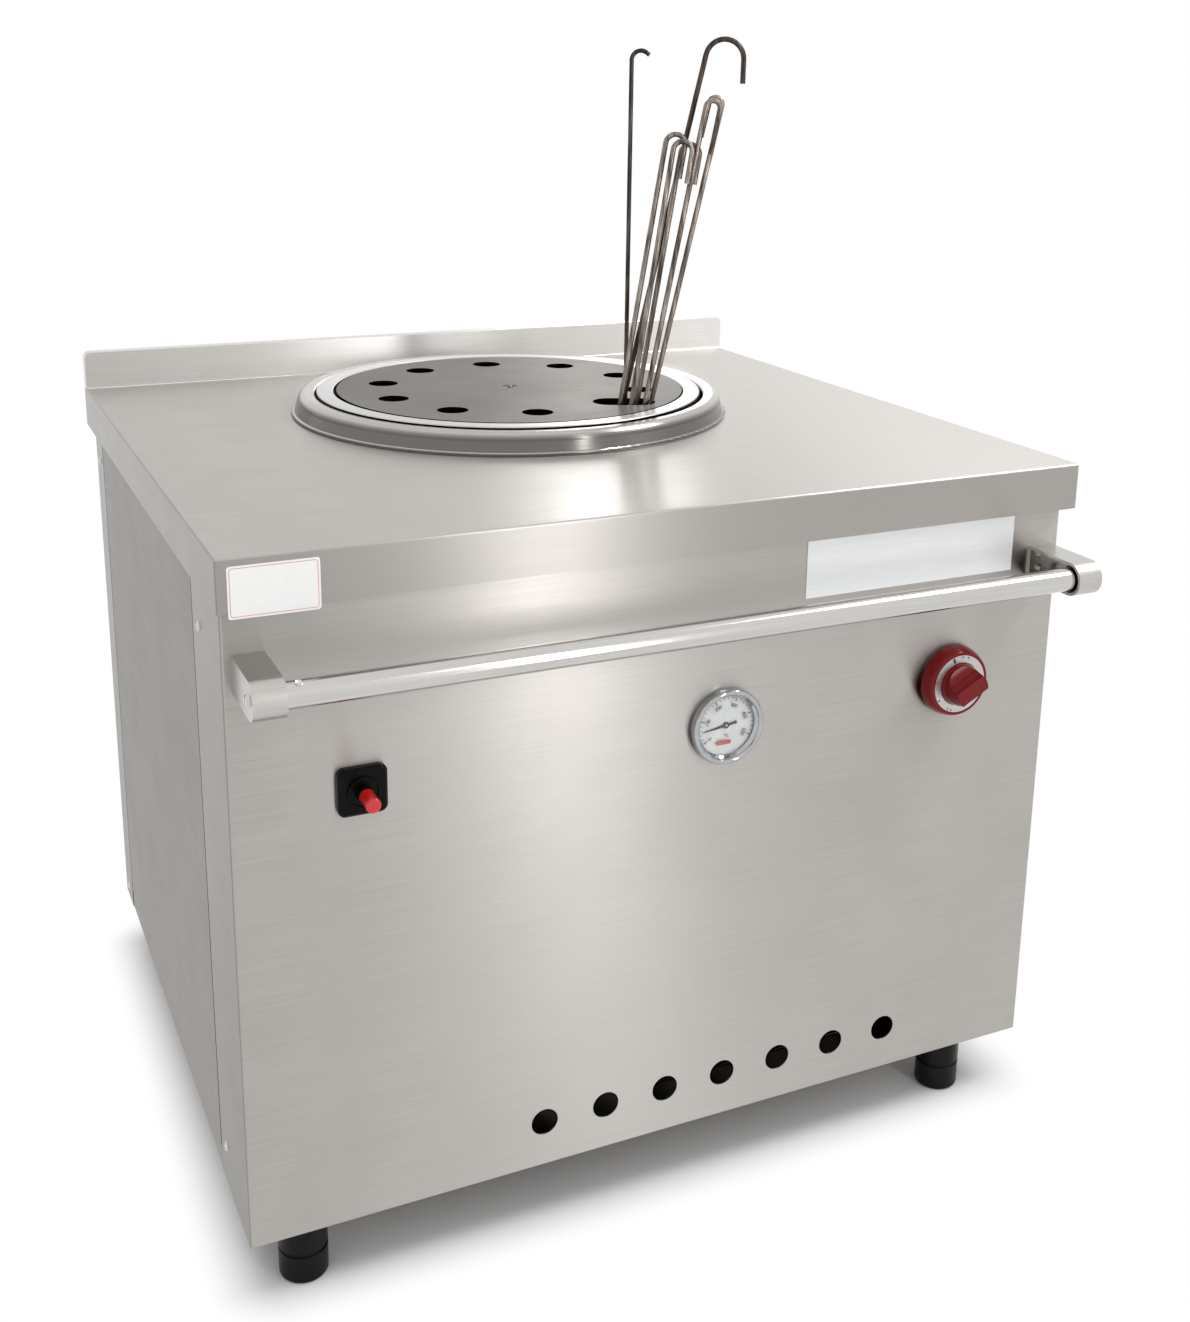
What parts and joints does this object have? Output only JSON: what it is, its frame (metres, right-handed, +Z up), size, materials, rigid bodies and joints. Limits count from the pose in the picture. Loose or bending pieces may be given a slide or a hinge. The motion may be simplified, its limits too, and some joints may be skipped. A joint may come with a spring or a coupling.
{
  "type": "clay tandoor oven",
  "caption": "Gas-fired clay tandoor in a stainless steel cabinet, with a lidded round mouth, hooked skewers, towel rail, thermometer, igniter and gas knob.",
  "frame": {"origin": "on the floor, under the middle of the oven's outline seen from above", "axes": "+Z up, +Y to the back, +X to the right of someone who stands at the front"},
  "size_m": [0.9, 0.8628, 1.1772],
  "materials": {
    "worktop_steel": "brushed stainless steel",
    "ring_steel": "bright stainless steel",
    "lid_steel": "brushed stainless steel",
    "panel_steel": "brushed stainless steel",
    "galvanised_steel": "galvanised steel",
    "screw_steel": "turned steel",
    "black_plastic": "black plastic",
    "polished_tube": "polished stainless tube",
    "bracket_steel": "satin stainless steel",
    "fired_clay": "unglazed fired clay",
    "mineral_wool": "mineral wool",
    "cast_iron": "rough cast iron",
    "brass": "turned brass",
    "copper": "drawn copper tube",
    "white_ceramic": "glazed ceramic",
    "knob_red": "dark red heat-proof plastic",
    "button_red": "red plastic",
    "bezel_chrome": "polished steel",
    "dial_white": "white enamel",
    "needle_black": "black paint",
    "clear_glass": "clear float glass",
    "skewer_steel": "heat-darkened drawn steel"
  },
  "bodies": {
    "cabinet": {"worktop": "worktop_steel", "upstand_main": "worktop_steel", "upstand_end": "worktop_steel", "collar": "worktop_steel", "mouth_ring": "ring_steel", "front_panel": "panel_steel", "side_panel_left": "panel_steel", "side_panel_right": "panel_steel", "rear_panel": "panel_steel", "base_pan": "galvanised_steel", "frame_posts": "galvanised_steel", "top_frame": "galvanised_steel", "base_frame": "galvanised_steel", "panel_screws": "screw_steel", "foot_sleeves": "black_plastic", "rail_tube": "polished_tube", "rail_bracket_left": "bracket_steel", "rail_bracket_right": "bracket_steel", "rail_bushes": "black_plastic", "rail_screws": "screw_steel", "clay_pot": "fired_clay", "pot_insulation": "mineral_wool", "pot_drum": "galvanised_steel", "pot_stand": "galvanised_steel", "flame_deflector": "cast_iron", "burner": "cast_iron", "injector": "brass", "pilot_burner": "screw_steel", "thermocouple": "copper", "spark_electrode": "white_ceramic", "ignition_lead": "black_plastic", "gas_inlet": "brass", "inlet_pipe": "copper", "burner_pipe": "copper", "pilot_pipe": "copper", "gas_valve": "brass", "igniter_plate": "black_plastic", "igniter_body": "black_plastic", "thermometer_case": "bezel_chrome", "thermometer_stem": "bezel_chrome", "thermometer_dial": "dial_white", "thermometer_glass": "clear_glass"},
    "knob_push": {"valve_stem": "screw_steel"},
    "knob_turn": {"knob": "knob_red", "knob_ring": "screw_steel"},
    "igniter_push": {"igniter_button": "button_red"},
    "needle": {"thermometer_needle": "needle_black"},
    "lid": {"lid_disc": "lid_steel"},
    "foot_front_left": {"foot_front_left": "black_plastic"},
    "foot_front_right": {"foot_front_right": "black_plastic"},
    "foot_rear_left": {"foot_rear_left": "black_plastic"},
    "foot_rear_right": {"foot_rear_right": "black_plastic"},
    "skewer_1": {"skewer_1": "skewer_steel"},
    "skewer_2": {"skewer_2": "skewer_steel"},
    "skewer_3": {"skewer_3": "skewer_steel"},
    "skewer_4": {"skewer_4": "skewer_steel"},
    "skewer_5": {"skewer_5": "skewer_steel"},
    "hook_rod_thin": {"hook_rod_thin": "skewer_steel"},
    "hook_rod_large": {"hook_rod_large": "skewer_steel"}
  },
  "joints": [
    {"name": "knob_push_in", "type": "slide", "parent": "cabinet", "child": "knob_push", "axis": [0, 1, 0], "range_m": [0, 0.004], "stiffness_N_per_m": 800},
    {"name": "knob_rotation", "type": "hinge", "parent": "knob_push", "child": "knob_turn", "pos_m": [0.314, -0.35, 0.522], "axis": [0, -1, 0], "range_deg": [0, 210]},
    {"name": "igniter_button_push", "type": "slide", "parent": "cabinet", "child": "igniter_push", "axis": [0, 1, 0], "range_m": [0, 0.008], "stiffness_N_per_m": 400},
    {"name": "thermometer_needle_sweep", "type": "hinge", "parent": "cabinet", "child": "needle", "pos_m": [0.044, -0.3526, 0.514], "axis": [0, 1, 0], "range_deg": [-20, 219], "stiffness_Nm_per_rad": 0.0005},
    {"name": "lid_lift", "type": "slide", "parent": "cabinet", "child": "lid", "axis": [0, 0, 1], "range_m": [0, 0.45]},
    {"name": "foot_front_left_screw", "type": "hinge", "parent": "cabinet", "child": "foot_front_left", "pos_m": [-0.388, -0.316, 0.00003], "axis": [0, 0, 1], "continuous": true},
    {"name": "foot_front_right_screw", "type": "hinge", "parent": "cabinet", "child": "foot_front_right", "pos_m": [0.363, -0.316, 0.00003], "axis": [0, 0, 1], "continuous": true},
    {"name": "foot_rear_left_screw", "type": "hinge", "parent": "cabinet", "child": "foot_rear_left", "pos_m": [-0.388, 0.3594, 0.00003], "axis": [0, 0, 1], "continuous": true},
    {"name": "foot_rear_right_screw", "type": "hinge", "parent": "cabinet", "child": "foot_rear_right", "pos_m": [0.363, 0.3594, 0.00003], "axis": [0, 0, 1], "continuous": true},
    {"name": "skewer_1_draw", "type": "slide", "parent": "lid", "child": "skewer_1", "axis": [0.1422, -0.0574, 0.9882], "range_m": [0, 0.5]},
    {"name": "skewer_2_draw", "type": "slide", "parent": "lid", "child": "skewer_2", "axis": [0.1326, -0.0536, 0.9897], "range_m": [0, 0.5]},
    {"name": "skewer_3_draw", "type": "slide", "parent": "lid", "child": "skewer_3", "axis": [0.141, -0.057, 0.9884], "range_m": [0, 0.5]},
    {"name": "skewer_4_draw", "type": "slide", "parent": "lid", "child": "skewer_4", "axis": [0.1669, -0.0674, 0.9837], "range_m": [0, 0.5]},
    {"name": "skewer_5_draw", "type": "slide", "parent": "lid", "child": "skewer_5", "axis": [0.1945, -0.0786, 0.9777], "range_m": [0, 0.5]},
    {"name": "hook_rod_thin_draw", "type": "slide", "parent": "lid", "child": "hook_rod_thin", "axis": [0.0019, -0.0008, 1], "range_m": [0, 0.5]},
    {"name": "hook_rod_large_draw", "type": "slide", "parent": "lid", "child": "hook_rod_large", "axis": [0.1993, -0.0805, 0.9766], "range_m": [0, 0.5]}
  ]
}
